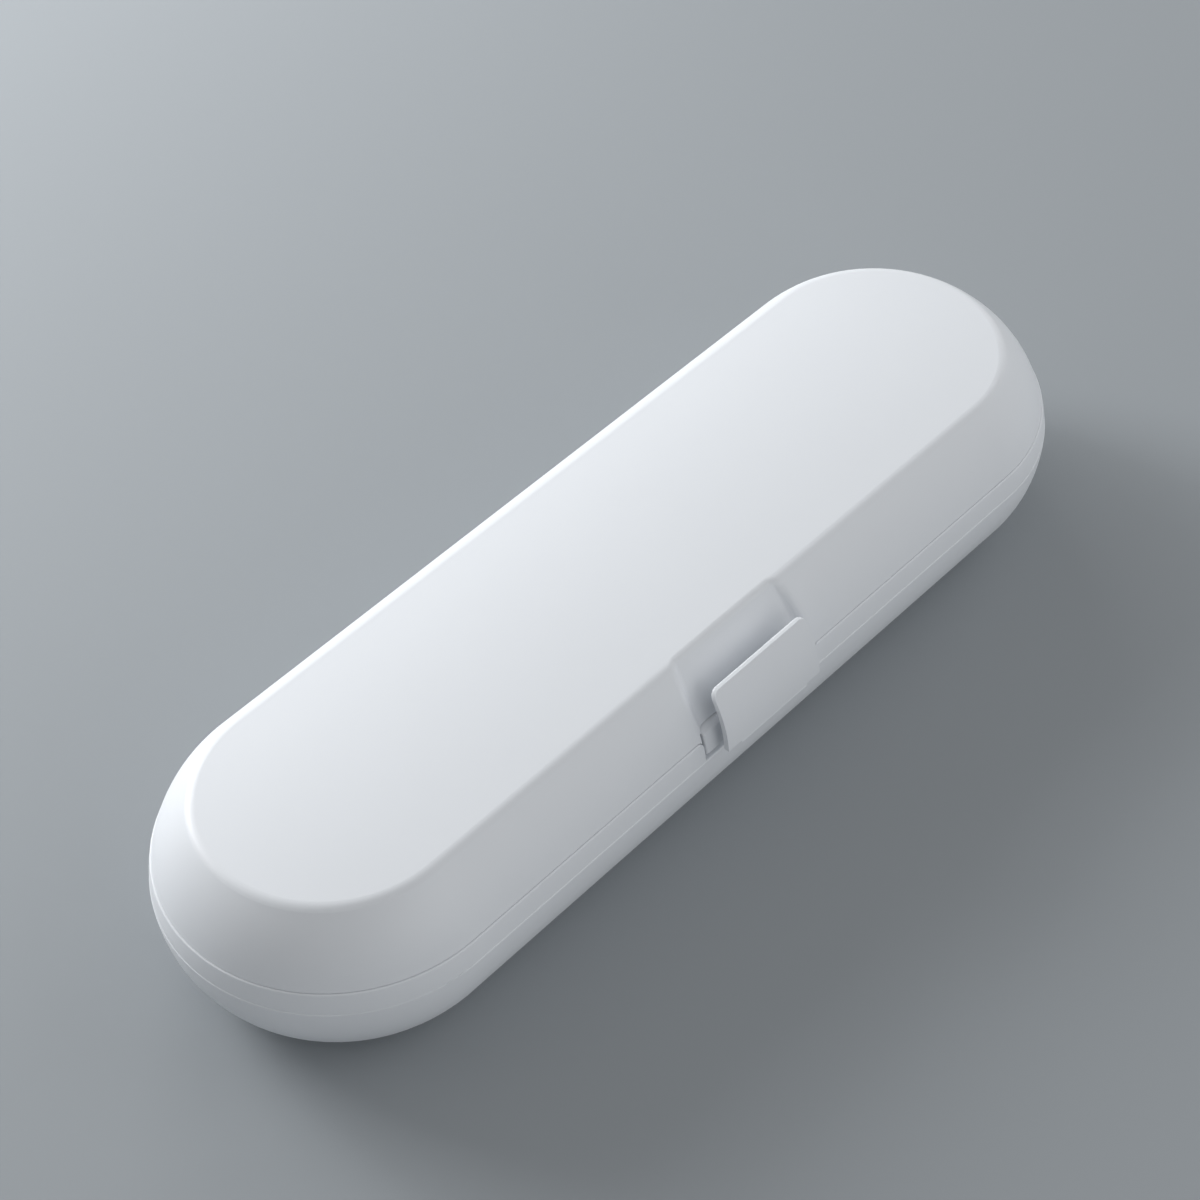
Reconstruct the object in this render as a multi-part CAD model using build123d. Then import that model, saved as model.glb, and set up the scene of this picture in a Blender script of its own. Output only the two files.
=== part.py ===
from build123d import *
from math import cos, hypot, radians, sin, sqrt, tan
import os

# Travel case for an electric toothbrush: a long rounded box of three shells, with a hinged lid and a front latch.
# Millimetres. X runs along the case, -Y is the latch side, +Z is up. The origin is the middle of the flat bottom.

# Outer body. Its outline from above is a stadium: two straight sides and two half circles.
case_length = 215.0
case_width = 68.0
case_height = 38.0          # up to the crease round the top
crown_rise = 1.0            # the top swells this far above the crease
base_height = 20.2          # bottom to the lower seam, where the case is widest
frame_height = 4.6          # band between the lower and the upper seam
crease_inset = 8.8          # from the widest outline in to the crease round the flat top
crease_radius = 3.0
side_radius = 25.7          # bulge of the side wall between the crease and the lower seam
floor_inset = 14.8          # from the widest outline in to the edge of the flat bottom
shell_wall = 2.0
seam_gap = 0.15             # air between the closed lid and the frame
edge_round = 0.35           # rounding of the shells' upper outer edges
overshoot = 1.0             # how far a cutter runs past what it cuts
frame_step = 0.12           # the frame's side lies this far inside the base's
lid_step = 0.25             # the lid's side lies this far inside the frame's

# Frame between the shells.
band_wall = 2.4
ledge_width = 2.2           # ledge that carries the tray
ledge_height = 1.0
skirt_depth = 3.7           # skirt that locates the frame inside the base
skirt_wall = 1.3
fit_clearance = 0.15
lip_clearance = 0.25
lip_wall = 1.2              # lip of the lid that drops inside the frame
lip_bite = 0.65             # how far the lip's root reaches into the lid's wall
lip_depth = 1.6
lip_end_y = 15.0            # the lip runs round the front and both ends, as far as here

# Hinges along the back edge, sunk into the frame's band.
hinge_inset = 1.7           # pin axis inside the widest outline
hinge_spacing = 92.0        # distance between the two hinges
knuckle_radius = 2.0
lid_knuckle_length = 10.0
frame_knuckle_length = 6.0
knuckle_gap = 0.25
swing_clearance = 0.3       # air round the lid's knuckles and their roots as they turn
hinge_pin_radius = 0.8
running_clearance = 0.05
seat_clearance = 0.02

# Latch lever at the front.
lever_width = 25.2
lever_thickness = 1.4
lever_height = 13.3         # nose to tip
lever_proud = 2.9           # how far the nose stands outside the widest outline
lever_lean = 3.9            # how far the tip lies behind the nose
lever_bulge = 1.0
lever_corner_radius = 1.8
lever_edge_round = 0.6
lever_back_round = 0.5
nose_rise = 1.9             # nose above the lower seam
hub_radius = 3.1
hub_width = 30.0
hub_inset = 2.7             # pin axis inside the widest outline
hub_clearance = 0.1         # air under the hub
hub_back_gap = 0.7          # air between the hub and the wall behind it
notch_side_gap = 0.4
hub_swing_gap = 0.15        # air between the hub and the closed lid
hub_round = 0.5
web_width = 18.0            # web between the lever's plate and its hub
web_inset = 1.2             # from the pin axis out to the web's back
notch_corner_radius = 1.2   # rounded upper corners of the band beside the latch
notch_corner_depth = 1.0
latch_pin_radius = 0.75
latch_pin_grip = 3.4        # length of the pin held in each end of the band
cheek_length = 4.2
cheek_depth = 2.0
hook_reach = 2.7
hook_thickness = 1.6
hook_width = 16.8
hook_height = 6.5           # underside of the hook above the pin axis
catch_clearance = 0.2
catch_reach = 2.4           # how far the catch ridge stands out of the pocket's floor
catch_thickness = 0.9

# Pocket in the lid's front slope.
pocket_top_width = 26.6
pocket_foot_width = 28.8
pocket_lean = 31.0          # degrees from upright
pocket_draft = 40.0
pocket_edge_inset = 0.3     # from the crease in to the top of the pocket's floor
pocket_floor_round = 1.5
pocket_rim_round = 2.0
pocket_cut = 10.0           # how far the pocket's cutter stands out of its floor
housing_wall = 1.5          # wall behind the latch hub

# Tray and what it holds.
tray_wall = 1.5
flange_thickness = 1.6
tray_clearance = 0.3
bay_side_height = 4.0       # straight sides of a bay above its round floor
trough_bay_wall_gap = 1.8
bay_pitch_gap = 10.0        # between the flat inner ends of the two bays
tray_floor_gap = 1.0        # air between the trough and the base's floor
drain_radius = 1.5
drain_count = 3
drain_pitch = 20.0
saddle_pitch = 100.0
saddle_length = 22.0
saddle_thickness = 0.8
saddle_arc = 60.0           # degrees each side of straight down
stud_radius = 2.0
stud_clearance = 0.1
peg_radius = 2.0
peg_length = 16.0
peg_collar_radius = 4.5
peg_collar_thickness = 1.2
peg_tail_length = 2.6

# Retainer inside the lid.
retainer_thickness = 1.2
retainer_gap = 0.1
retainer_inset = 4.5        # from the lid's inner wall in to the panel's edge
rib_thickness = 3.0
rib_web = 0.4               # least height of a rib between its arch and the panel
rib_reach = 7.5             # the rib's ends hang this far below the panel
rib_width = 30.0
pad_thickness = 1.0
pad_arc = 40.0              # degrees each side of straight up

# Vents in the base's floor.
vent_count = 6
vent_pitch = 9.0
vent_length = 16.0
vent_width = 2.0

half_width = case_width / 2
end_centre = case_length / 2 - half_width
frame_top = base_height + frame_height
lid_edge = frame_top + seam_gap
lid_inset = frame_step + lid_step

# Centre of the arc that runs from the crease down to the lower seam.
side_rise = case_height - base_height
side_chord = hypot(crease_inset, side_rise)
centre_to_chord = sqrt(side_radius ** 2 - (side_chord / 2) ** 2)
side_centre_r = half_width - crease_inset / 2 - centre_to_chord * side_rise / side_chord
side_centre_z = (case_height + base_height) / 2 - centre_to_chord * crease_inset / side_chord


def side_r(z, inset):
    """Distance of the side wall from the outline's middle line at height z, moved in by inset."""
    return side_centre_r + sqrt((side_radius - inset) ** 2 - (z - side_centre_z) ** 2)


def side_arc(z_from, z_to, inset):
    """Arc of the side wall between two heights, drawn in the XZ plane."""
    z_mid = (z_from + z_to) / 2
    heights = (z_from, z_mid, z_to)
    return ThreePointArc(*[(side_r(z, inset), 0, z) for z in heights])


def base_r(z):
    """Distance of the base's inner wall from the outline's middle line at height z."""
    share = (base_height - z) / (base_height - shell_wall)
    return half_width - floor_inset + (floor_inset - shell_wall) * sqrt(1 - share ** 2)


bore_r = side_r(frame_top, frame_step) - band_wall
ledge_top = base_height + ledge_height
flange_top = ledge_top + flange_thickness
skirt_foot = base_height - skirt_depth
skirt_r = base_r(skirt_foot) - fit_clearance
hinge_y = half_width - hinge_inset
hinge_z = base_height + frame_height / 2
hub_y = -(half_width - hub_inset)
hub_z = base_height + hub_clearance + hub_radius
notch_half = hub_width / 2 + notch_side_gap
nose_z = base_height + nose_rise
lid_cavity_top = case_height - shell_wall
pocket_top_y = -(side_r(case_height, lid_inset) - pocket_edge_inset)
pocket_slope = tan(radians(pocket_lean))
pocket_depth_y = shell_wall / cos(radians(pocket_lean))
housing_y = hub_y + hub_radius + hub_back_gap
retainer_top = lid_cavity_top - retainer_gap
retainer_foot = retainer_top - retainer_thickness

# The handle fills the height between the trough's saddles and the retainer's pads.
trough_floor_z = shell_wall + tray_floor_gap + tray_wall
handle_diameter = retainer_foot - rib_web - pad_thickness - trough_floor_z - saddle_thickness
handle_radius = handle_diameter / 2
trough_radius = handle_radius + saddle_thickness
trough_z = trough_floor_z + trough_radius
trough_y = bore_r - ledge_width - trough_radius - tray_wall - tray_clearance
trough_half = end_centre + tray_clearance
rib_arch_radius = handle_radius + pad_thickness

# The bays fill the width between the trough and the latch housing.
bay_back_y = trough_y - trough_radius - 2 * tray_wall - trough_bay_wall_gap
bay_front_y = housing_y + housing_wall + tray_clearance + tray_wall
bay_radius = (bay_back_y - bay_front_y) / 2
bay_y = bay_back_y - bay_radius
bay_z = flange_top - bay_side_height
bay_start = bay_pitch_gap / 2
bay_end = end_centre - tray_clearance


def pill(section):
    """Carry a half section, drawn in the XZ plane, all the way round the case's outline."""
    front = section.rotate(Axis.Z, -90)
    right_end = Pos(end_centre, 0, 0) * revolve(front, Axis.Z, 180)
    left_end = Rot(0, 0, 180) * right_end
    front_run = extrude(Pos(-end_centre, 0, 0) * front, amount=2 * end_centre, dir=(1, 0, 0))
    back_run = mirror(front_run, about=Plane.XZ)
    return right_end + left_end + front_run + back_run


def side_solid(z_from, z_to, inset):
    """Solid inside the side wall moved in by inset, between two heights."""
    rest = Polyline(
        (side_r(z_from, inset), 0, z_from), (0, 0, z_from), (0, 0, z_to), (side_r(z_to, inset), 0, z_to)
    )
    return pill(make_face([side_arc(z_to, z_from, inset).edge()] + list(rest.edges())))


def outline(*points):
    """Closed straight-sided face through points (y, z), in the YZ plane."""
    return make_face(Polyline([(0, y, z) for y, z in points], close=True))


def along_x(face, x_from, x_to):
    """Extrude a face of the YZ plane from x_from to x_to."""
    return extrude(Pos(x_from, 0, 0) * face, amount=x_to - x_from, dir=(1, 0, 0))


def x_rod(radius, x_from, x_to, y, z):
    """Round rod along X."""
    disc = Pos(0, y, z) * (Plane.YZ * Circle(radius))
    return along_x(disc, x_from, x_to)


def block(x_from, x_to, y_from, y_to, z_from, z_to):
    """Box between two corners."""
    middle = Pos((x_from + x_to) / 2, (y_from + y_to) / 2, (z_from + z_to) / 2)
    return middle * Box(x_to - x_from, y_to - y_from, z_to - z_from)


def both_sides(piece):
    """The piece and its mirror image in the YZ plane."""
    return piece + mirror(piece, about=Plane.YZ)


def end_ball(radius, side, x, y, z):
    """Ball for the end of a trough. Its poles and its seam lie outside the quarter that is used."""
    return Pos(x, y, z) * (Rot(0, 45 * side, 0) * (Rot(0, 0, 90 * (1 + side)) * Sphere(radius)))


def capsule(radius, x_from, x_to, y, z, z_top):
    """Trough with round ends: a capsule along X below z, with straight sides up to z_top."""
    rod = x_rod(radius, x_from, x_to, y, z)
    ends = [end_ball(radius, -1, x_from, y, z), end_ball(radius, 1, x_to, y, z)]
    mouth = [Pos(x, y, (z + z_top) / 2) * Cylinder(radius, z_top - z) for x in (x_from, x_to)]
    middle = block(x_from, x_to, y - radius, y + radius, z, z_top)
    lower = block(x_from - radius, x_to + radius, y - radius, y + radius, z - radius, z)
    return ((rod + ends) & lower) + middle + mouth


def quarter_ellipse(across, up):
    """Flank curve in the XZ plane from the floor's edge up to the lower seam."""
    arc = EllipticalCenterArc((0, 0), across, up, start_angle=270, arc_size=90)
    return Pos(half_width - floor_inset, 0, base_height) * (Rot(90, 0, 0) * arc)


def base_shell():
    """Lower shell: elliptical flank, flat floor with vents, open top."""
    floor_r = half_width - floor_inset
    flank = quarter_ellipse(floor_inset, base_height)
    top = Polyline((half_width, 0, base_height), (0, 0, base_height), (0, 0, 0), (floor_r, 0, 0))
    outer = make_face([flank.edge()] + list(top.edges()))
    outer = fillet(outer.vertices().sort_by(Axis.X)[-1], edge_round)
    hollow = quarter_ellipse(floor_inset - shell_wall, base_height - shell_wall)
    inner_r = half_width - shell_wall
    rim = Polyline(
        (inner_r, 0, base_height), (inner_r, 0, base_height + overshoot), (0, 0, base_height + overshoot),
        (0, 0, shell_wall), (floor_r, 0, shell_wall),
    )
    inner = make_face([hollow.edge()] + list(rim.edges()))
    shell = pill(outer) - pill(inner)
    slot = SlotOverall(vent_length, vent_width, rotation=90)
    cutter = extrude(slot, amount=shell_wall + overshoot, both=True)
    first = -vent_pitch * (vent_count - 1) / 2
    for index in range(vent_count):
        shell -= Pos(first + index * vent_pitch, 0, 0) * cutter
    return shell


def hinge_rods(radius, length, centres):
    """Rods of one size on the hinge axis, centred at the given x values."""
    return [x_rod(radius, x - length / 2, x + length / 2, hinge_y, hinge_z) for x in centres]


hinge_centres = (-hinge_spacing / 2, hinge_spacing / 2)
frame_knuckle_shift = (lid_knuckle_length + frame_knuckle_length) / 2 + knuckle_gap
frame_knuckle_centres = [x + side * frame_knuckle_shift for x in hinge_centres for side in (-1, 1)]
pin_half = lid_knuckle_length / 2 + knuckle_gap + frame_knuckle_length
lid_root_y = side_r(lid_edge, lid_inset + shell_wall)
swing_radius = hypot(lid_edge - hinge_z, hinge_y - lid_root_y) + swing_clearance


def notch_face(gap):
    """Right half of the latch notch in the XZ plane, with its rounded upper corner taken in by gap."""
    arc_radius = notch_corner_radius + gap
    arc_x = notch_half + notch_corner_radius
    arc_z = frame_top - notch_corner_radius
    corner = arc_radius * sin(radians(45))
    side = ThreePointArc(
        (arc_x - arc_radius, 0, arc_z),
        (arc_x - corner, 0, arc_z + corner),
        (arc_x, 0, arc_z + arc_radius),
    )
    rest = Polyline(
        (arc_x, 0, arc_z + arc_radius), (arc_x, 0, case_height), (0, 0, case_height), (0, 0, base_height),
        (arc_x - arc_radius, 0, base_height), (arc_x - arc_radius, 0, arc_z),
    )
    return make_face([side.edge()] + list(rest.edges()))


def rim_frame():
    """Band between the shells, with tray ledge, skirt, hinge knuckles, latch notch and latch housing."""
    ledge_r = bore_r - ledge_width
    outer_arc = side_arc(base_height, frame_top, frame_step)
    rest = Polyline(
        (side_r(frame_top, frame_step), 0, frame_top),
        (bore_r, 0, frame_top),
        (bore_r, 0, ledge_top),
        (ledge_r, 0, ledge_top),
        (ledge_r, 0, base_height),
        (skirt_r - skirt_wall, 0, base_height),
        (skirt_r - skirt_wall, 0, skirt_foot),
        (skirt_r, 0, skirt_foot),
        (skirt_r, 0, base_height),
        (side_r(base_height, frame_step), 0, base_height),
    )
    section = make_face([outer_arc.edge()] + list(rest.edges()))
    upper_corner = section.vertices().group_by(Axis.Z)[-1].sort_by(Axis.X)[-1]
    section = fillet(upper_corner, edge_round)
    ring = pill(section)
    corner_y = notch_corner_depth - side_r(frame_top, frame_step)
    corners = both_sides(extrude(notch_face(0), amount=case_width, dir=(0, -1, 0)))
    ring -= corners & block(-case_width, case_width, -case_width, corner_y, base_height, case_height)
    housing_half = notch_half + cheek_length
    housing_back = housing_y + housing_wall
    ring += block(-housing_half, housing_half, housing_y, housing_back, skirt_foot, frame_top)
    ring += both_sides(block(notch_half, housing_half, -bore_r - seam_gap, housing_back, base_height, frame_top))
    ring -= block(-notch_half, notch_half, -case_width, housing_y, base_height, case_height)
    ring += hinge_rods(knuckle_radius, frame_knuckle_length, frame_knuckle_centres)
    ring -= hinge_rods(swing_radius, lid_knuckle_length + 2 * knuckle_gap, hinge_centres)
    ring -= hinge_rods(hinge_pin_radius + seat_clearance, 2 * pin_half, hinge_centres)
    grip_end = notch_half + latch_pin_grip + seat_clearance
    ring -= x_rod(latch_pin_radius + seat_clearance, -grip_end, grip_end, hub_y, hub_z)
    return ring


def pocket_cutter():
    """Solid that cuts the pocket: a plane floor, leaning back, with drafted side walls."""
    lean = radians(pocket_lean)
    outward = (0, -cos(lean), sin(lean))
    floor_plane = Plane(origin=(0, pocket_top_y, case_height), x_dir=(1, 0, 0), z_dir=outward)
    foot = (case_height - base_height) / cos(lean)
    widen = (pocket_foot_width - pocket_top_width) / 2 / foot
    top_half = pocket_top_width / 2 - pocket_cut * widen
    foot_half = pocket_foot_width / 2
    corners = ((-top_half, pocket_cut), (top_half, pocket_cut), (foot_half, -foot), (-foot_half, -foot))
    face = floor_plane * make_face(Polyline(*corners, close=True))
    return extrude(face, amount=pocket_cut, dir=outward, taper=-pocket_draft)


def pocket_wall_edges(body):
    """Edges along the pocket's two side walls, from the outermost pair to the innermost."""
    tall = (case_height - lid_edge) / 2
    reach = pocket_foot_width
    return body.edges().filter_by(
        lambda edge: abs(edge.center().X) < reach and edge.center().Y < 0 and edge.bounding_box().size.Z > tall
    ).sort_by(Axis.Y)


def crown_arc(crease_r):
    """Arc of the swollen top in the XZ plane, from the middle line out to the crease."""
    crown_radius = (crease_r ** 2 + crown_rise ** 2) / (2 * crown_rise)
    middle_r = crease_r / 2
    middle_z = case_height + crown_rise - crown_radius + sqrt(crown_radius ** 2 - middle_r ** 2)
    return ThreePointArc((0, 0, case_height + crown_rise), (middle_r, 0, middle_z), (crease_r, 0, case_height))


def lid_shell():
    """Upper shell: flat top, bulged slope, front pocket with catch ridge, lip and hinge knuckles."""
    crease_r = side_r(case_height, lid_inset)
    slope = side_arc(case_height, lid_edge, lid_inset)
    rest = Polyline((side_r(lid_edge, lid_inset), 0, lid_edge), (0, 0, lid_edge), (0, 0, case_height + crown_rise))
    outer = make_face([slope.edge(), crown_arc(crease_r).edge()] + list(rest.edges()))
    crease = outer.vertices().sort_by_distance((crease_r, 0, case_height))[0]
    body = pill(fillet(crease, crease_radius)) - pocket_cutter()
    body = fillet(pocket_wall_edges(body)[-2:], pocket_floor_round)
    body = fillet(pocket_wall_edges(body)[:2], pocket_rim_round)
    backing_y = pocket_top_y + pocket_depth_y
    housing_back = housing_y + housing_wall
    backing = outline(
        (-case_width, lid_edge), (-case_width, case_height), (backing_y, case_height),
        (housing_back, case_height - (backing_y - housing_back) / pocket_slope), (housing_back, lid_edge),
    )
    backing_half = notch_half + shell_wall
    cavity = side_solid(base_height, lid_cavity_top, lid_inset + shell_wall)
    shell = body - (cavity - along_x(backing, -backing_half, backing_half))
    lip_r = bore_r - lip_clearance
    lip = make_face(Polyline(
        (lip_r, 0, frame_top - lip_depth),
        (lip_r, 0, lid_edge),
        (lid_root_y + lip_bite, 0, lid_edge),
        (lid_root_y + lip_bite, 0, lid_edge + lip_wall),
        (lip_r - lip_wall, 0, lid_edge + lip_wall),
        (lip_r - lip_wall, 0, frame_top - lip_depth),
        close=True,
    ))
    lip_ring = pill(lip)
    lip_break = notch_half + cheek_length + lip_clearance
    lip_ring -= block(-lip_break, lip_break, -case_width, 0, 0, lid_edge)
    lip_ring -= block(-case_length, case_length, lip_end_y, case_width, 0, lid_edge)
    shell += lip_ring
    tongue_r = side_r(frame_top, frame_step) - notch_corner_depth + seam_gap
    tongue_foot = frame_top - notch_corner_radius
    tongue = both_sides(extrude(notch_face(seam_gap), amount=case_width, dir=(0, -1, 0)))
    tongue = tongue & block(-case_width, case_width, -case_width, -tongue_r, tongue_foot, lid_edge + shell_wall)
    tongue = tongue & side_solid(base_height, case_height, lid_inset)
    shell += tongue - pocket_cutter()
    shell -= block(-notch_half, notch_half, -case_width, housing_y, base_height, lid_edge)
    shell -= x_rod(hub_radius + hub_swing_gap, -notch_half, notch_half, hub_y, hub_z)
    hook_z = hub_z + hook_height
    ridge_top = hook_z - catch_clearance
    floor_y = pocket_top_y - (case_height - ridge_top) * pocket_slope
    ridge = outline(
        (floor_y + pocket_depth_y / 2, ridge_top),
        (floor_y - catch_reach, ridge_top),
        (floor_y - catch_reach, ridge_top - catch_thickness),
        (floor_y, ridge_top - catch_reach),
    )
    shell += along_x(ridge, -hook_width / 2, hook_width / 2)
    for x in hinge_centres:
        half = lid_knuckle_length / 2
        shell += block(
            x - half, x + half, lid_root_y, side_r(lid_edge, lid_inset), hinge_z, lid_edge + seam_gap
        )
    shell += hinge_rods(knuckle_radius, lid_knuckle_length, hinge_centres)
    shell -= hinge_rods(hinge_pin_radius + running_clearance, 2 * lid_knuckle_length, hinge_centres)
    return shell


def lever_y(z):
    """Where the straight line from the lever's nose to its tip lies at height z."""
    return -(half_width + lever_proud) + lever_lean * (z - nose_z) / lever_height


def lever_plate():
    """Bowed plate of even thickness, with round upper corners and soft edges."""
    tip_z = nose_z + lever_height
    middle_z = nose_z + lever_height / 2
    profile = ((lever_y(nose_z), nose_z), (lever_y(middle_z) - lever_bulge, middle_z), (lever_y(tip_z), tip_z))
    front = ThreePointArc(*[(0, y, z) for y, z in profile])
    back = ThreePointArc(*[(0, y + lever_thickness, z) for y, z in profile])
    ends = [Line((0, y, z), (0, y + lever_thickness, z)) for y, z in (profile[0], profile[-1])]
    face = make_face([front.edge(), back.edge()] + [end.edge() for end in ends])
    plate = along_x(face, -lever_width / 2, lever_width / 2)
    tip_corners = plate.edges().filter_by(Axis.Y).group_by(Axis.Z)[-1]
    plate = fillet(tip_corners, lever_corner_radius)
    plate = fillet(plate.faces().sort_by(Axis.Y)[0].edges(), lever_edge_round)
    back_top = plate.edges().filter_by(Axis.X).group_by(Axis.Z)[-1].sort_by(Axis.Y)[-1]
    return fillet(back_top, lever_back_round)


def latch_lever():
    """Lever: a plate that stands proud, a web to its round hub, and a hook on its inner face."""
    root_z = hub_z + hub_radius
    web_y = hub_y - web_inset
    hook_z = hub_z + hook_height
    hook_top = hook_z + 2 * hook_thickness
    web = outline(
        (lever_y(nose_z), nose_z), (hub_y, nose_z), (hub_y, root_z), (web_y, root_z + hub_radius), (web_y, hook_z),
        (lever_y(hook_top) + lever_thickness / 2, hook_top), (lever_y(hook_top), hook_top),
    )
    hub = x_rod(hub_radius, -hub_width / 2, hub_width / 2, hub_y, hub_z)
    hub = hub & side_solid(base_height, case_height, 0)
    lever = lever_plate() + fillet(hub.edges(), hub_round) + along_x(web, -web_width / 2, web_width / 2)
    back_y = lever_y(hook_z) + lever_thickness
    hook = outline(
        (lever_y(hook_z), hook_z),
        (back_y + hook_reach, hook_z),
        (back_y + hook_reach, hook_z + hook_thickness / 2),
        (back_y, hook_top),
        (lever_y(hook_top), hook_top),
    )
    lever += along_x(hook, -hook_width / 2, hook_width / 2)
    lever -= x_rod(latch_pin_radius + running_clearance, -hub_width, hub_width, hub_y, hub_z)
    return lever


def inner_tray():
    """Lift-out tray: a flange on the frame's ledge, a handle trough and two head bays."""
    flange_r = bore_r - tray_clearance
    mouth_z = flange_top + overshoot
    flange = pill(make_face(Polyline(
        (0, 0, ledge_top), (flange_r, 0, ledge_top), (flange_r, 0, flange_top), (0, 0, flange_top), close=True
    )))
    clear_half = notch_half + cheek_length + tray_clearance
    clear_y = housing_y + housing_wall + tray_clearance
    flange -= block(-clear_half, clear_half, -case_width, clear_y, 0, case_height)
    flange -= hinge_rods(swing_radius + tray_clearance, 2 * (pin_half + tray_clearance), hinge_centres)
    tray = flange + capsule(
        trough_radius + tray_wall, -trough_half, trough_half, trough_y, trough_z, flange_top
    )
    outer_r = bay_radius + tray_wall
    for side in (-1, 1):
        bay = capsule(outer_r, bay_start + outer_r, bay_end, bay_y, bay_z, flange_top)
        bay += x_rod(outer_r, bay_start - tray_wall, bay_start + outer_r, bay_y, bay_z) & block(
            0, case_length, -case_width, 0, 0, bay_z
        )
        bay += block(bay_start - tray_wall, bay_end, bay_y - outer_r, bay_y + outer_r, bay_z, flange_top)
        tray += bay if side > 0 else mirror(bay, about=Plane.YZ)
    tray -= capsule(trough_radius, -trough_half, trough_half, trough_y, trough_z, mouth_z)
    for side in (-1, 1):
        hollow = x_rod(bay_radius, bay_start, bay_end, bay_y, bay_z)
        hollow += end_ball(bay_radius, 1, bay_end, bay_y, bay_z)
        hollow = hollow & block(0, case_length, -case_width, 0, 0, bay_z)
        hollow += block(bay_start, bay_end, bay_y - bay_radius, bay_y + bay_radius, bay_z, mouth_z)
        hollow += Pos(bay_end, bay_y, (bay_z + mouth_z) / 2) * Cylinder(bay_radius, mouth_z - bay_z)
        hollow += x_rod(peg_radius + seat_clearance, 0, bay_start + overshoot, bay_y, bay_z)
        for index in range(drain_count):
            x = bay_start + drain_pitch * (index + 1)
            hollow += Pos(x, bay_y, bay_z - bay_radius) * Cylinder(drain_radius, 2 * (tray_wall + overshoot))
        tray -= hollow if side > 0 else mirror(hollow, about=Plane.YZ)
    for x in (-saddle_pitch / 2, saddle_pitch / 2):
        tray -= Pos(x, trough_y, trough_floor_z) * Cylinder(stud_radius + stud_clearance, 2 * (tray_wall + overshoot))
    return tray


def arched_strip(outer_radius, thickness, length, half_angle, x, upward):
    """Strip of a tube's wall about the handle's axis, reaching half_angle each side of straight down or up."""
    ring = Plane.YZ * (Circle(outer_radius) - Circle(outer_radius - thickness))
    reach = 2 * outer_radius
    sign = 1 if upward else -1
    spread = reach * tan(radians(half_angle))
    wedge = make_face(Polyline((0, 0, 0), (0, -spread, sign * reach), (0, spread, sign * reach), close=True))
    return along_x(Pos(0, trough_y, trough_z) * (ring & wedge), x - length / 2, x + length / 2)


def handle_saddle(x):
    """Silicone pad in the trough, with a stud through the trough's floor."""
    pad = arched_strip(trough_radius, saddle_thickness, saddle_length, saddle_arc, x, False)
    stud_top = trough_floor_z + saddle_thickness / 2
    stud_foot = trough_floor_z - tray_wall
    stud = Pos(x, trough_y, (stud_top + stud_foot) / 2) * Cylinder(stud_radius, stud_top - stud_foot)
    return pad + stud


def head_peg(side):
    """Peg for one brush head, with a collar against the bay's flat end and a tail through it."""
    tail = x_rod(peg_radius, bay_start - tray_wall - peg_tail_length / 2, bay_start, bay_y, bay_z)
    collar = x_rod(peg_collar_radius, bay_start, bay_start + peg_collar_thickness, bay_y, bay_z)
    shank = x_rod(peg_radius, bay_start, bay_start + peg_length, bay_y, bay_z)
    end_edge = shank.faces().sort_by(Axis.X)[-1].edges()
    shank = fillet(end_edge, peg_radius / 2)
    peg = tail + collar + shank
    return peg if side > 0 else mirror(peg, about=Plane.YZ)


def lid_retainer():
    """Panel under the lid's top with two ribs arched to the handle."""
    panel_r = side_r(lid_cavity_top, lid_inset + shell_wall) - retainer_inset
    panel = pill(make_face(Polyline(
        (0, 0, retainer_foot), (panel_r, 0, retainer_foot), (panel_r, 0, retainer_top), (0, 0, retainer_top), close=True
    )))
    room = side_solid(base_height, retainer_top, lid_inset + shell_wall + retainer_gap)
    for x in (-saddle_pitch / 2, saddle_pitch / 2):
        rib = block(
            x - rib_thickness / 2, x + rib_thickness / 2, trough_y - rib_width / 2, trough_y + rib_width / 2,
            retainer_foot - rib_reach, retainer_top,
        )
        panel += rib & room
        panel -= x_rod(rib_arch_radius, x - rib_thickness / 2, x + rib_thickness / 2, trough_y, trough_z)
    return panel


def retainer_pad(x):
    """Silicone strip along a rib's arch."""
    return arched_strip(rib_arch_radius, pad_thickness, rib_thickness, pad_arc, x, True)


def hinge_pin(x):
    """Steel pin of one hinge."""
    return x_rod(hinge_pin_radius, x - pin_half, x + pin_half, hinge_y, hinge_z)


def latch_pin():
    """Steel pin of the latch lever."""
    half = notch_half + latch_pin_grip
    return x_rod(latch_pin_radius, -half, half, hub_y, hub_z)


nodes = {
    "base_shell": base_shell(),
    "rim_frame": rim_frame(),
    "lid_shell": lid_shell(),
    "latch_lever": latch_lever(),
    "latch_pin": latch_pin(),
    "hinge_pin_left": hinge_pin(-hinge_spacing / 2),
    "hinge_pin_right": hinge_pin(hinge_spacing / 2),
    "inner_tray": inner_tray(),
    "handle_saddle_left": handle_saddle(-saddle_pitch / 2),
    "handle_saddle_right": handle_saddle(saddle_pitch / 2),
    "head_peg_left": head_peg(-1),
    "head_peg_right": head_peg(1),
    "lid_retainer": lid_retainer(),
    "retainer_pad_left": retainer_pad(-saddle_pitch / 2),
    "retainer_pad_right": retainer_pad(saddle_pitch / 2),
}

os.makedirs("parts", exist_ok=True)
for name, shape in nodes.items():
    export_step(shape, f"parts/{name}.step")
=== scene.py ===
"""Looks of a long rounded travel case for an electric toothbrush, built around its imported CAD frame.

Metres throughout. X runs along the case, -Y is the latch side and +Z is up.
"""

from __future__ import annotations

import logging
import math
from dataclasses import dataclass
from enum import Enum
from typing import Any

import bmesh
import bpy
import numpy as np
from mathutils import Matrix, Vector

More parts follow.
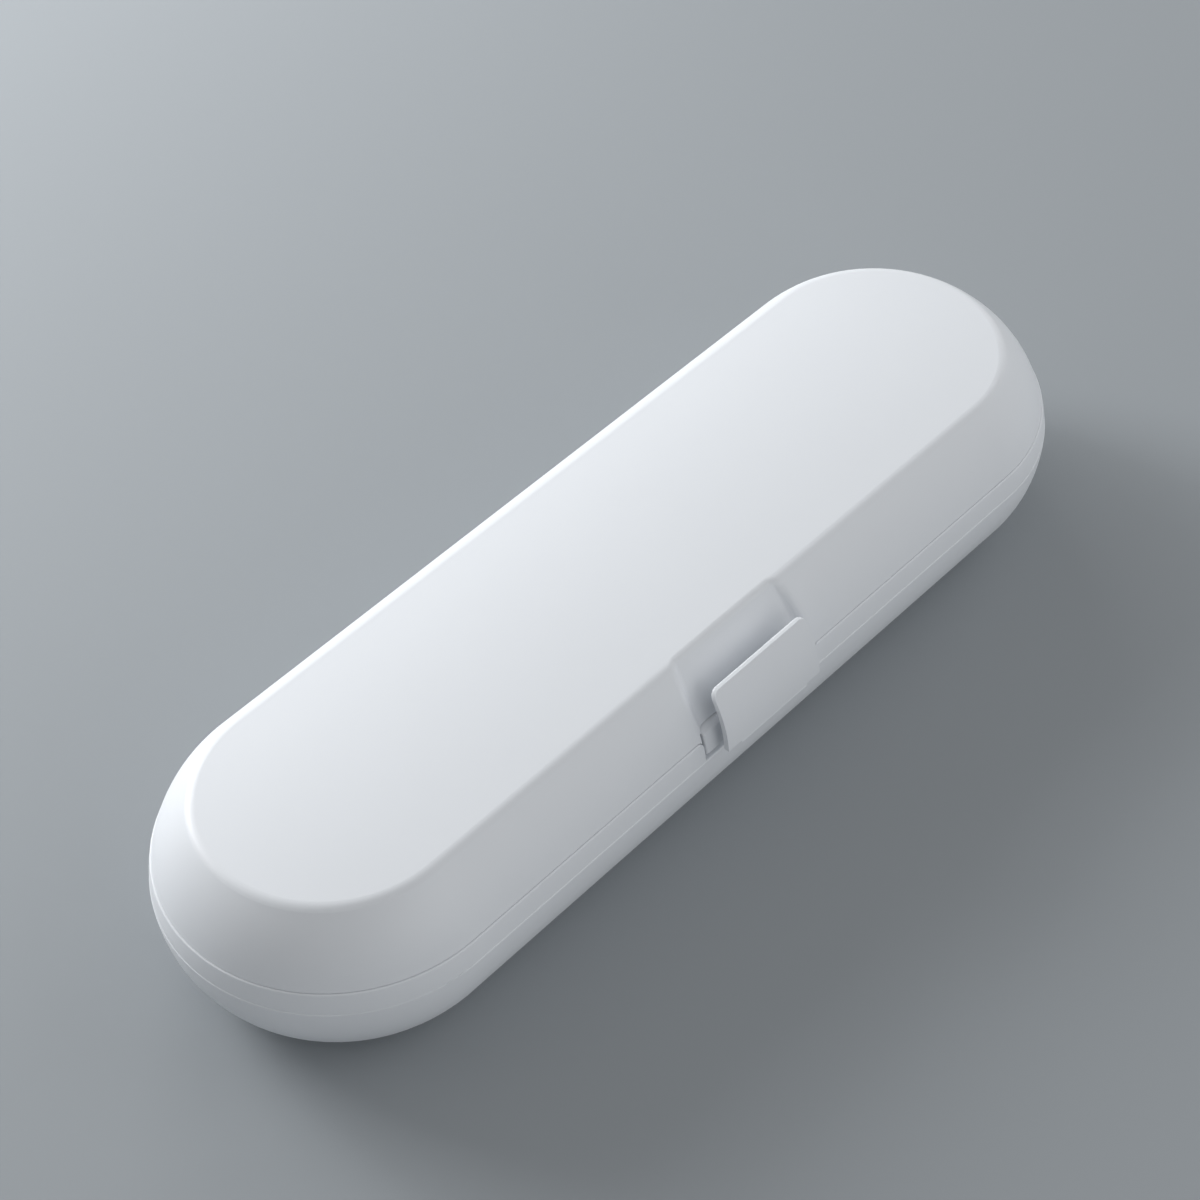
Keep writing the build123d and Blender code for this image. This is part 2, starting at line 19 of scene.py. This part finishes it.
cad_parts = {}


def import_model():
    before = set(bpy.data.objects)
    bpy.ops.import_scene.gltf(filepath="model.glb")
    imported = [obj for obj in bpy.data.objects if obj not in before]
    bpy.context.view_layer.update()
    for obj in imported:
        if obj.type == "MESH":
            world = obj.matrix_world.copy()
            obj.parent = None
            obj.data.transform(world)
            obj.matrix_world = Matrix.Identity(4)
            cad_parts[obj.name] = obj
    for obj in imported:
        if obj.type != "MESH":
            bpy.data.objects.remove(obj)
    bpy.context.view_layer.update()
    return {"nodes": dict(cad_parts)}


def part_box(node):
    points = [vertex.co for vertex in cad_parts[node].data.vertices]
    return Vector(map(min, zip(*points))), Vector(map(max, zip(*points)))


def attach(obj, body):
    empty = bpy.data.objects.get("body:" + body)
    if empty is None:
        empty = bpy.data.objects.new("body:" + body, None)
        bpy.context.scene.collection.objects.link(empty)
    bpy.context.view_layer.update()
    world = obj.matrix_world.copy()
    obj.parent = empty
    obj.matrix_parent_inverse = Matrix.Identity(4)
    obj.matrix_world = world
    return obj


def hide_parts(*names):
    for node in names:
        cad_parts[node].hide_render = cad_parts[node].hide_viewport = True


LOG = logging.getLogger("case")
MM = 0.001
MERGE_DISTANCE = 0.001 * MM

Colour = tuple[float, float, float]


def srgb(red: int, green: int, blue: int) -> Colour:
    """Turn a colour given as screen values into linear values.

    Args:
        red: the red channel from 0 to 255.
        green: the green channel.
        blue: the blue channel.

    Returns:
        The three linear channels, from 0 to 1.
    """

    def linear(value: int) -> float:
        """Undo the screen's curve for one channel."""
        part = value / 255
        return part / 12.92 if part <= 0.04045 else ((part + 0.055) / 1.055) ** 2.4

    return linear(red), linear(green), linear(blue)


# --------------------------------------------------------------------------------------------------
# Shader building
# --------------------------------------------------------------------------------------------------


class Wire:
    """A number on its way through a node tree. Arithmetic on it adds Math nodes."""

    def __init__(self, graph: "Graph", socket: Any) -> None:
        """Keep the graph and the output socket that the number comes from."""
        self.graph = graph
        self.socket = socket

    def _math(self, operation: str, left: Any, right: Any = None) -> "Wire":
        """Add one Math node.

        Args:
            operation: the node's operation, such as MULTIPLY.
            left: its first value, a number or a Wire.
            right: its second value, where it has one.

        Returns:
            The node's result.
        """
        inputs = {0: left} if right is None else {0: left, 1: right}
        return self.graph.node("ShaderNodeMath", {"operation": operation}, inputs)

    def __add__(self, other: Any) -> "Wire":
        """Sum of two values."""
        return self._math("ADD", self, other)

    def __radd__(self, other: Any) -> "Wire":
        """Sum of two values, reflected."""
        return self._math("ADD", other, self)

    def __sub__(self, other: Any) -> "Wire":
        """Difference of two values."""
        return self._math("SUBTRACT", self, other)

    def __rsub__(self, other: Any) -> "Wire":
        """Difference of two values, reflected."""
        return self._math("SUBTRACT", other, self)

    def __mul__(self, other: Any) -> "Wire":
        """Product of two values."""
        return self._math("MULTIPLY", self, other)

    def __rmul__(self, other: Any) -> "Wire":
        """Product of two values, reflected."""
        return self._math("MULTIPLY", other, self)

    def clipped(self, low: float, high: float) -> "Wire":
        """The value kept between two limits."""
        return self._math("MINIMUM", self._math("MAXIMUM", self, low), high)


class Graph:
    """A material's node tree and the one method that adds nodes to it."""

    def __init__(self, material: bpy.types.Material) -> None:
        """Empty the material's tree and give it an output and a Principled shader.

        Args:
            material: the material whose tree is built.
        """
        material.use_nodes = True
        self.tree = material.node_tree
        self.tree.nodes.clear()
        self.output = self.tree.nodes.new("ShaderNodeOutputMaterial")
        self.shader = self.tree.nodes.new("ShaderNodeBsdfPrincipled")
        self.tree.links.new(self.shader.outputs["BSDF"], self.output.inputs["Surface"])

    def feed(self, socket: Any, value: Any) -> None:
        """Set a socket to a number or colour, or link a Wire to it.

        Args:
            socket: the input socket.
            value: a Wire, a number, or a colour, which gets an alpha of 1.
        """
        if isinstance(value, Wire):
            self.tree.links.new(value.socket, socket)
        elif isinstance(value, tuple) and len(value) == 3 and len(socket.default_value) == 4:
            socket.default_value = (*value, 1.0)
        else:
            socket.default_value = value

    def node(
        self, kind: str, settings: dict[str, Any], inputs: dict[Any, Any], output: Any = 0
    ) -> Wire:
        """Add any node.

        Args:
            kind: the node's type name.
            settings: its own properties, set first.
            inputs: the values or links of its sockets, by name or number.
            output: the output socket to hand back, by name or number.

        Returns:
            The chosen output.
        """
        made = self.tree.nodes.new(kind)
        for name, value in settings.items():
            setattr(made, name, value)
        for name, value in inputs.items():
            self.feed(made.inputs[name], value)
        return Wire(self, made.outputs[output])

    def place(self) -> Wire:
        """Object coordinates, which stay on the piece."""
        return self.node("ShaderNodeTexCoord", {}, {}, "Object")

    def noise(self, scale: float, detail: float, roughness: float = 0.5) -> Wire:
        """Noise from 0 to 1 at a scale in cycles per metre."""
        inputs = {"Vector": self.place(), "Scale": scale, "Detail": detail, "Roughness": roughness}
        return self.node("ShaderNodeTexNoise", {}, inputs, "Fac")

    def mix_colour(self, share: Any, first: Any, second: Any) -> Wire:
        """Blend of two colours."""
        settings = {"data_type": "RGBA"}
        return self.node("ShaderNodeMix", settings, {"Factor": share, 6: first, 7: second}, 2)

    def relief(self, height: Wire, depth: float) -> Wire:
        """Bump from a height between 0 and 1, which stands for a depth in metres."""
        inputs = {"Height": height, "Distance": depth, "Strength": 1.0}
        return self.node("ShaderNodeBump", {}, inputs, "Normal")


@dataclass(frozen=True)
class MouldedPlastic:
    """Satin moulded plastic: a fine spark-eroded grain, soft gloss, and a very slight unevenness of tone."""

    name: str
    colour: Colour
    shade: Colour
    roughness: float = 0.42
    roughness_spread: float = 0.06
    tone_scale: float = 18.0
    cloud_scale: float = 160.0
    cloud_share: float = 0.3
    grain_scale: float = 9000.0
    grain_depth: float = 0.004 * MM
    refraction: float = 1.46

    def material(self) -> bpy.types.Material:
        """Build the material.

        Returns:
            The new material.
        """
        made = bpy.data.materials.new(self.name)
        graph = Graph(made)
        tone = graph.noise(self.tone_scale, detail=2.0)
        cloud = graph.noise(self.cloud_scale, detail=3.0)
        share = (tone * (1.0 - self.cloud_share) + cloud * self.cloud_share).clipped(0.0, 1.0)
        graph.feed(graph.shader.inputs["Base Color"], graph.mix_colour(share, self.colour, self.shade))
        roughness = self.roughness + (cloud - 0.5) * self.roughness_spread
        graph.feed(graph.shader.inputs["Roughness"], roughness)
        grain = graph.noise(self.grain_scale, detail=2.0, roughness=0.6)
        graph.feed(graph.shader.inputs["Normal"], graph.relief(grain, self.grain_depth))
        graph.feed(graph.shader.inputs["IOR"], self.refraction)
        return made


@dataclass(frozen=True)
class DrawnSteel:
    """Bright drawn steel wire with fine lines along it."""

    name: str
    colour: Colour
    line_colour: Colour
    roughness: float = 0.28
    roughness_spread: float = 0.12
    line_scale: tuple[float, float, float] = (40.0, 9000.0, 9000.0)
    line_depth: float = 0.003 * MM

    def material(self) -> bpy.types.Material:
        """Build the material.

        Returns:
            The new material.
        """
        made = bpy.data.materials.new(self.name)
        graph = Graph(made)
        stretch = {"Vector": graph.place(), "Scale": self.line_scale}
        lines = graph.node("ShaderNodeMapping", {}, stretch, "Vector")
        streak = graph.node("ShaderNodeTexNoise", {}, {"Vector": lines, "Scale": 1.0, "Detail": 2.0}, "Fac")
        colour = graph.mix_colour(streak, self.colour, self.line_colour)
        graph.feed(graph.shader.inputs["Base Color"], colour)
        graph.feed(graph.shader.inputs["Roughness"], self.roughness + streak * self.roughness_spread)
        graph.feed(graph.shader.inputs["Metallic"], 1.0)
        graph.feed(graph.shader.inputs["Normal"], graph.relief(streak, self.line_depth))
        return made


@dataclass(frozen=True)
class Silicone:
    """Soft dull silicone with a faint dusty bloom."""

    name: str
    colour: Colour
    bloom: Colour
    bloom_share: float = 0.6
    dust_scale: float = 900.0
    dust_depth: float = 0.01 * MM
    roughness: float = 0.62
    roughness_spread: float = 0.2

    def material(self) -> bpy.types.Material:
        """Build the material.

        Returns:
            The new material.
        """
        made = bpy.data.materials.new(self.name)
        graph = Graph(made)
        dust = graph.noise(self.dust_scale, detail=4.0, roughness=0.7)
        colour = graph.mix_colour(dust * self.bloom_share, self.colour, self.bloom)
        graph.feed(graph.shader.inputs["Base Color"], colour)
        graph.feed(graph.shader.inputs["Roughness"], self.roughness + dust * self.roughness_spread)
        graph.feed(graph.shader.inputs["Normal"], graph.relief(dust, self.dust_depth))
        return made


@dataclass(frozen=True)
class PaintedFloor:
    """Dull pale paint for the studio's floor, with a broad and very slight unevenness of tone."""

    name: str
    colour: Colour
    shade: Colour
    shade_share: float = 0.5
    cloud_scale: float = 3.0
    roughness: float = 0.6
    roughness_spread: float = 0.1
    sheen: float = 0.3

    def material(self) -> bpy.types.Material:
        """Build the material.

        Returns:
            The new material.
        """
        made = bpy.data.materials.new(self.name)
        graph = Graph(made)
        cloud = graph.noise(self.cloud_scale, detail=3.0)
        colour = graph.mix_colour(cloud * self.shade_share, self.colour, self.shade)
        graph.feed(graph.shader.inputs["Base Color"], colour)
        graph.feed(graph.shader.inputs["Roughness"], self.roughness + cloud * self.roughness_spread)
        graph.feed(graph.shader.inputs["Specular IOR Level"], self.sheen)
        return made


# --------------------------------------------------------------------------------------------------
# The case
# --------------------------------------------------------------------------------------------------

WHITE = srgb(236, 239, 243)
WHITE_SHADE = srgb(232, 235, 239)


def dress(node: bpy.types.Object, material: bpy.types.Material) -> None:
    """Give a node of the frame its material in all its slots.

    Args:
        node: the frame's node.
        material: the material that it gets.
    """
    if not node.material_slots:
        node.data.materials.append(material)
    for slot in node.material_slots:
        slot.material = material
    LOG.info("%s dressed", node.name)


@dataclass
class Shells:
    """The lid, the band and the base."""

    white: MouldedPlastic = MouldedPlastic("shell_white", WHITE, WHITE_SHADE)

    def build(self, nodes: dict[str, bpy.types.Object]) -> None:
        """Dress the three shells.

        Args:
            nodes: the frame's nodes by name.
        """
        material = self.white.material()
        for name in ("lid_shell", "rim_frame", "base_shell"):
            dress(nodes[name], material)


@dataclass
class Latch:
    """The latch lever, and the steel pins of the latch and of both hinges."""

    white: MouldedPlastic = MouldedPlastic("lever_white", WHITE, WHITE_SHADE)
    steel: DrawnSteel = DrawnSteel("pin_steel", srgb(178, 180, 184), srgb(150, 152, 156))

    def build(self, nodes: dict[str, bpy.types.Object]) -> None:
        """Dress the lever and the pins.

        Args:
            nodes: the frame's nodes by name.
        """
        dress(nodes["latch_lever"], self.white.material())
        steel = self.steel.material()
        for name in ("latch_pin", "hinge_pin_left", "hinge_pin_right"):
            dress(nodes[name], steel)


@dataclass
class Inside:
    """Tray, pegs and retainer."""

    grey: MouldedPlastic = MouldedPlastic(
        "tray_grey", srgb(214, 218, 223), srgb(208, 213, 219), roughness=0.5
    )
    peg: MouldedPlastic = MouldedPlastic(
        "peg_grey", srgb(205, 209, 214), srgb(200, 204, 210), roughness=0.4
    )

    def build(self, nodes: dict[str, bpy.types.Object]) -> None:
        """Dress everything inside the case.

        Args:
            nodes: the frame's nodes by name.
        """
        grey = self.grey.material()
        for name in ("inner_tray", "lid_retainer"):
            dress(nodes[name], grey)
        peg = self.peg.material()
        for name in ("head_peg_left", "head_peg_right"):
            dress(nodes[name], peg)


class Way(Enum):
    """Which way an arched pad opens: a saddle opens upwards, a strip in the lid opens downwards."""

    UP = 1.0
    DOWN = -1.0


@dataclass
class SoftPads:
    """Silicone pads that hold the handle: two ribbed saddles in the tray, and a strip on each lid rib."""

    handle_radius: float = 14.0 * MM
    axis_height: float = 19.3 * MM
    saddle_thickness: float = 0.8 * MM
    saddle_angle: float = 60.0
    saddle_ribs: int = 9
    strip_thickness: float = 1.0 * MM
    strip_angle: float = 40.0
    strip_ribs: int = 1
    groove: float = 0.3 * MM
    stud_radius: float = 2.0 * MM
    edge_power: int = 16
    end_power: int = 24
    groove_reach: float = 0.98
    loop_points: int = 120
    rib_points: int = 24
    stud_points: int = 40
    stud_rows: int = 13
    silicone: Silicone = Silicone("pad_silicone", srgb(150, 156, 164), srgb(176, 181, 188))

    def arch(
        self, low: Vector, high: Vector, thickness: float, half_angle: float, ribs: int, way: Way
    ) -> np.ndarray:
        """Work out an arched pad with grooves across it.

        The pad is a loop carried along X. The angle phi from the middle of the arch runs to and fro as
        minus the cosine of the loop's parameter. At phi the loop lies off the mean radius, inwards on the
        first half and outwards on the second, by half the thickness times
        (1 - |phi / half angle| ** edge power) ** (1 / 2). The same rounding, with the end power and the
        share of the way from the middle to the end along X, closes both ends. Between two ribs the inner
        side sinks by the groove's depth times (0.5 - 0.5 cos) cubed.

        Args:
            low: the lowest corner of the pad's node.
            high: its highest corner.
            thickness: the pad's thickness.
            half_angle: degrees from the middle of the arch to its edge.
            ribs: how many ribs lie side by side along X.
            way: whether the arch opens upwards or downwards.

        Returns:
            Points of shape (places along X, places round the loop, 3).
        """
        share = np.sin(np.linspace(-0.5, 0.5, self.rib_points * (ribs + 1) + 1) * math.pi)[:, None]
        turn = np.linspace(0.0, 2.0 * math.pi, self.loop_points, endpoint=False)[None, :]
        phi = -np.cos(turn) * math.radians(half_angle)
        inner = turn < math.pi
        edge = np.sqrt(1.0 - np.abs(np.cos(turn)) ** self.edge_power)
        rounding = edge * np.sqrt(np.clip(1.0 - np.abs(share) ** self.end_power, 0.0, 1.0))
        dip = self.groove * (0.5 - 0.5 * np.cos(math.pi * ribs * (share + 1.0))) ** 3 * rounding
        dip = np.where(np.abs(phi) < math.radians(half_angle) * self.groove_reach, dip, 0.0) * inner
        mean = self.handle_radius + thickness / 2
        radius = mean + np.where(inner, -1.0, 1.0) * thickness / 2 * rounding + dip
        x = (low.x + high.x) / 2 + share * (high.x - low.x) / 2 + 0.0 * phi
        y = (low.y + high.y) / 2 + radius * np.sin(phi)
        z = self.axis_height - way.value * radius * np.cos(phi)
        return np.stack((x, y, z), axis=-1)

    def stud(self, low: Vector, high: Vector) -> np.ndarray:
        """Work out the stud under a saddle: a cylinder with a rounded foot, turned about its own axis.

        Its radius is the full radius times (1 - (1 - t * t) ** 4) ** (1 / 4), while t goes from 0 at the foot
        to 1 halfway up. From there the stud is full, and it shrinks to nothing inside the pad.

        Args:
            low: the lowest corner of the saddle's node.
            high: its highest corner.

        Returns:
            Points of shape (places up the stud, places round it, 3).
        """
        top = self.axis_height - self.handle_radius - self.saddle_thickness / 2
        eased = np.linspace(0.0, 1.0, self.stud_rows) ** 2
        rise = np.concatenate((eased * 0.5, (1.0, 1.0)))
        share = np.concatenate(((1.0 - (1.0 - eased) ** 4) ** 0.25, (1.0, 0.0)))
        radius = share[:, None] * self.stud_radius
        turn = np.linspace(0.0, 2.0 * math.pi, self.stud_points, endpoint=False)[None, :]
        x = (low.x + high.x) / 2 + radius * np.cos(turn)
        y = (low.y + high.y) / 2 + radius * np.sin(turn)
        z = low.z + rise[:, None] * (top - low.z) + 0.0 * turn
        return np.stack((x, y, z), axis=-1)

    def place(self, name: str, grids: list[np.ndarray], material: bpy.types.Material, body: str) -> None:
        """Make one pad, hide the plain solid that it stands for, and let it ride on its body.

        Args:
            name: the plain solid's node, and the start of the pad's own name.
            grids: the pad's surfaces, as grids of points.
            material: its material.
            body: the body that it moves with.
        """
        mesh = mesh_of_grids(name + "_soft", grids, closed=True)
        mesh.materials.append(material)
        piece = bpy.data.objects.new(name + "_soft", mesh)
        bpy.context.scene.collection.objects.link(piece)
        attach(piece, body)
        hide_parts(name)
        LOG.info("%s made", piece.name)

    def build(self) -> None:
        """Make the four pads."""
        material = self.silicone.material()
        for side in ("left", "right"):
            low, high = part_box("handle_saddle_" + side)
            saddle = self.arch(
                low, high, self.saddle_thickness, self.saddle_angle, self.saddle_ribs, Way.UP
            )
            self.place("handle_saddle_" + side, [saddle, self.stud(low, high)], material, "base")
            low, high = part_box("retainer_pad_" + side)
            strip = self.arch(
                low, high, self.strip_thickness, self.strip_angle, self.strip_ribs, Way.DOWN
            )
            self.place("retainer_pad_" + side, [strip], material, "lid")


# --------------------------------------------------------------------------------------------------
# The studio
# --------------------------------------------------------------------------------------------------


@dataclass(frozen=True)
class Softbox:
    """One square lamp that faces the middle of the floor.

    Its place is given by the direction it stands in, counted from +X towards +Y, its height angle, both in
    degrees, and its distance. Its power is in watts.
    """

    name: str
    azimuth: float
    elevation: float
    distance: float
    size: float
    power: float
    colour: Colour = (0.98, 0.99, 1.0)

    def hang(self) -> None:
        """Put the lamp into the scene."""
        data = bpy.data.lights.new(self.name, "AREA")
        data.shape = "SQUARE"
        data.size = self.size
        data.energy = self.power
        data.color = self.colour
        azimuth, elevation = math.radians(self.azimuth), math.radians(self.elevation)
        level = math.cos(elevation)
        away = Vector((math.cos(azimuth) * level, math.sin(azimuth) * level, math.sin(elevation)))
        lamp = bpy.data.objects.new(self.name, data)
        lamp.location = away * self.distance
        lamp.rotation_euler = away.to_track_quat("Z", "Y").to_euler()
        bpy.context.scene.collection.objects.link(lamp)


@dataclass
class Studio:
    """Floor, lamps, sky and camera.

    The camera's place is given by the direction it stands in, counted from -Y towards +X, its height
    angle and its roll, all in degrees, its distance, and how far it slides sideways and upwards.
    """

    azimuth: float = -44.935
    elevation: float = 47.228
    roll: float = -2.897
    distance: float = 0.54447
    aim_height: float = 0.015
    slide: tuple[float, float] = (0.004947, -0.007554)
    lens: float = 86.304
    sensor: float = 36.0
    sight: tuple[float, float] = (0.01, 20.0)
    floor_half: float = 3.0
    floor_cells: int = 8
    paint: PaintedFloor = PaintedFloor("floor_grey", srgb(156, 161, 165), srgb(154, 159, 163))
    lamps: tuple[Softbox, ...] = (
        Softbox("key", 90.0, 22.0, 0.7, 0.3, 1.32),
        Softbox("key_left", 105.0, 24.0, 1.0, 0.35, 3.5),
        Softbox("key_left_near", 105.0, 30.0, 0.7, 0.3, 1.01),
        Softbox("key_right", 60.0, 28.0, 0.7, 0.3, 0.76),
        Softbox("key_far", 90.0, 30.0, 1.5, 0.5, 1.89),
        Softbox("rear", 135.0, 35.0, 1.2, 0.6, 0.6),
        Softbox("fill_right", 0.0, 20.0, 1.3, 0.6, 1.94),
        Softbox("fill_corner", 315.0, 35.0, 1.3, 0.8, 2.3),
        Softbox("fill_front", 270.0, 20.0, 1.3, 0.8, 2.59),
    )
    sky: Colour = (0.98, 0.99, 1.0)
    sky_strength: float = 0.31

    def floor(self) -> None:
        """Lay the floor, a flat sheet worked out on a grid of two parameters."""
        along = np.linspace(-self.floor_half, self.floor_half, self.floor_cells + 1)
        x, y = np.meshgrid(along, along, indexing="ij")
        mesh = mesh_of_grids("floor", [np.stack((x, y, np.zeros_like(x)), axis=-1)], closed=False)
        sheet = bpy.data.objects.new("floor", mesh)
        bpy.context.scene.collection.objects.link(sheet)
        mesh.materials.append(self.paint.material())

    def camera(self) -> None:
        """Set up the camera from its angles, its distance and its sideways slide."""
        azimuth, elevation, roll = (math.radians(v) for v in (self.azimuth, self.elevation, self.roll))
        flat = math.cos(elevation)
        back = Vector((math.sin(azimuth) * flat, -math.cos(azimuth) * flat, math.sin(elevation)))
        level = Vector((math.cos(azimuth), math.sin(azimuth), 0.0))
        rise = back.cross(level)
        right = level * math.cos(roll) + rise * math.sin(roll)
        up = rise * math.cos(roll) - level * math.sin(roll)
        aim = Vector((0.0, 0.0, self.aim_height)) - right * self.slide[0] - up * self.slide[1]
        place = aim + back * self.distance
        data = bpy.data.cameras.new("camera")
        data.lens = self.lens
        data.sensor_width = self.sensor
        data.clip_start, data.clip_end = self.sight
        view = bpy.data.objects.new("camera", data)
        turn = Matrix((right, up, back)).transposed().to_4x4()
        view.matrix_world = Matrix.Translation(place) @ turn
        bpy.context.scene.collection.objects.link(view)
        bpy.context.scene.camera = view

    def light(self) -> None:
        """Hang the lamps and light the sky."""
        for lamp in self.lamps:
            lamp.hang()
        world = bpy.data.worlds.new("sky")
        world.use_nodes = True
        background = world.node_tree.nodes["Background"]
        background.inputs["Color"].default_value = (*self.sky, 1.0)
        background.inputs["Strength"].default_value = self.sky_strength
        bpy.context.scene.world = world

    def build(self) -> None:
        """Build the whole studio."""
        self.floor()
        self.camera()
        self.light()
        bpy.context.scene.view_settings.view_transform = "Standard"


def mesh_of_grids(name: str, grids: list[np.ndarray], closed: bool) -> bpy.types.Mesh:
    """Make a mesh from grids of points, with a quad between each four neighbours.

    Points that fall together, as at a pole, are merged, and the faces are turned outwards.

    Args:
        name: the mesh's name.
        grids: arrays of points, each of shape (rows, columns, 3).
        closed: whether the last column joins the first.

    Returns:
        The mesh, smooth shaded.
    """
    quads = []
    start = 0
    for grid in grids:
        rows, columns = grid.shape[:2]
        number = np.arange(rows * columns).reshape(rows, columns) + start
        ahead = np.roll(number, -1, axis=1)
        if not closed:
            number, ahead = number[:, :-1], ahead[:, :-1]
        quads.append(np.stack((number[:-1], ahead[:-1], ahead[1:], number[1:]), axis=-1).reshape(-1, 4))
        start += rows * columns
    points = np.concatenate([grid.reshape(-1, 3) for grid in grids])
    corners = np.concatenate(quads)
    mesh = bpy.data.meshes.new(name)
    mesh.vertices.add(len(points))
    mesh.vertices.foreach_set("co", points.reshape(-1).astype(np.float32))
    mesh.loops.add(corners.size)
    mesh.loops.foreach_set("vertex_index", corners.reshape(-1).astype(np.int32))
    mesh.polygons.add(len(corners))
    mesh.polygons.foreach_set("loop_start", np.arange(0, corners.size, 4, dtype=np.int32))
    mesh.update(calc_edges=True)
    if closed:
        shape = bmesh.new()
        shape.from_mesh(mesh)
        bmesh.ops.remove_doubles(shape, verts=shape.verts, dist=MERGE_DISTANCE)
        bmesh.ops.recalc_face_normals(shape, faces=shape.faces)
        shape.to_mesh(mesh)
        shape.free()
    mesh.validate()
    mesh.shade_smooth()
    return mesh


def main() -> None:
    """Load the frame, dress every piece and set up the studio."""
    logging.basicConfig(level=logging.INFO, format="%(name)s: %(message)s")
    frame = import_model()
    nodes = frame["nodes"]
    for part in (Shells(), Latch(), Inside()):
        part.build(nodes)
        LOG.info("%s done", type(part).__name__)
    SoftPads().build()
    Studio().build()


if __name__ == "__main__":
    main()
